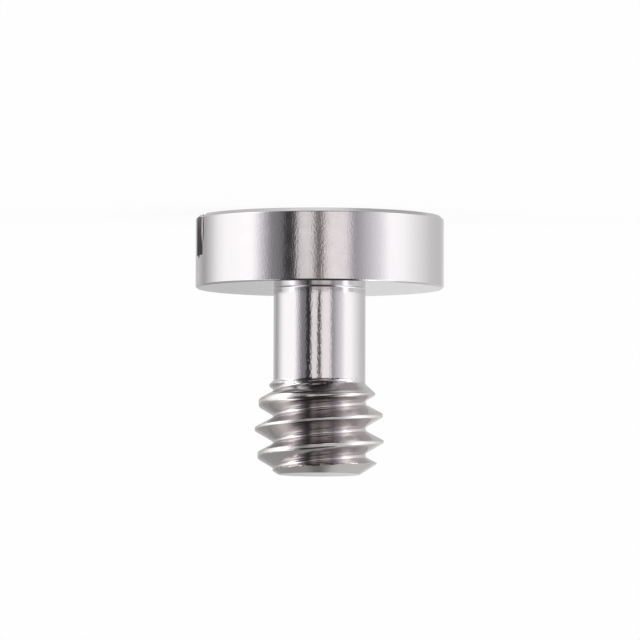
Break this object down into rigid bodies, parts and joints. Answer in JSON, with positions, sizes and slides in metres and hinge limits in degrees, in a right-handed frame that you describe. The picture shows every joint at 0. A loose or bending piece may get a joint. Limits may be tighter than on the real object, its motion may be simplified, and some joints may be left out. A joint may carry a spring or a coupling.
{
  "type": "captive panel screw",
  "caption": "Captive screw in one turned piece: a flat round head with a driver slot, a plain waist thinner than the thread, and a short right-hand thread.",
  "frame": {"origin": "on the screw's axis in the bearing face under the head", "axes": "+Z along the waist and the thread to the tip, the head below the origin; the driver slot runs across the head 14.5 degrees clockwise from +X as seen from +Z"},
  "size_m": [0.012, 0.012, 0.0125],
  "materials": {
    "screw": "polished"
  },
  "bodies": {
    "root": {"screw": "screw"}
  },
  "joints": []
}
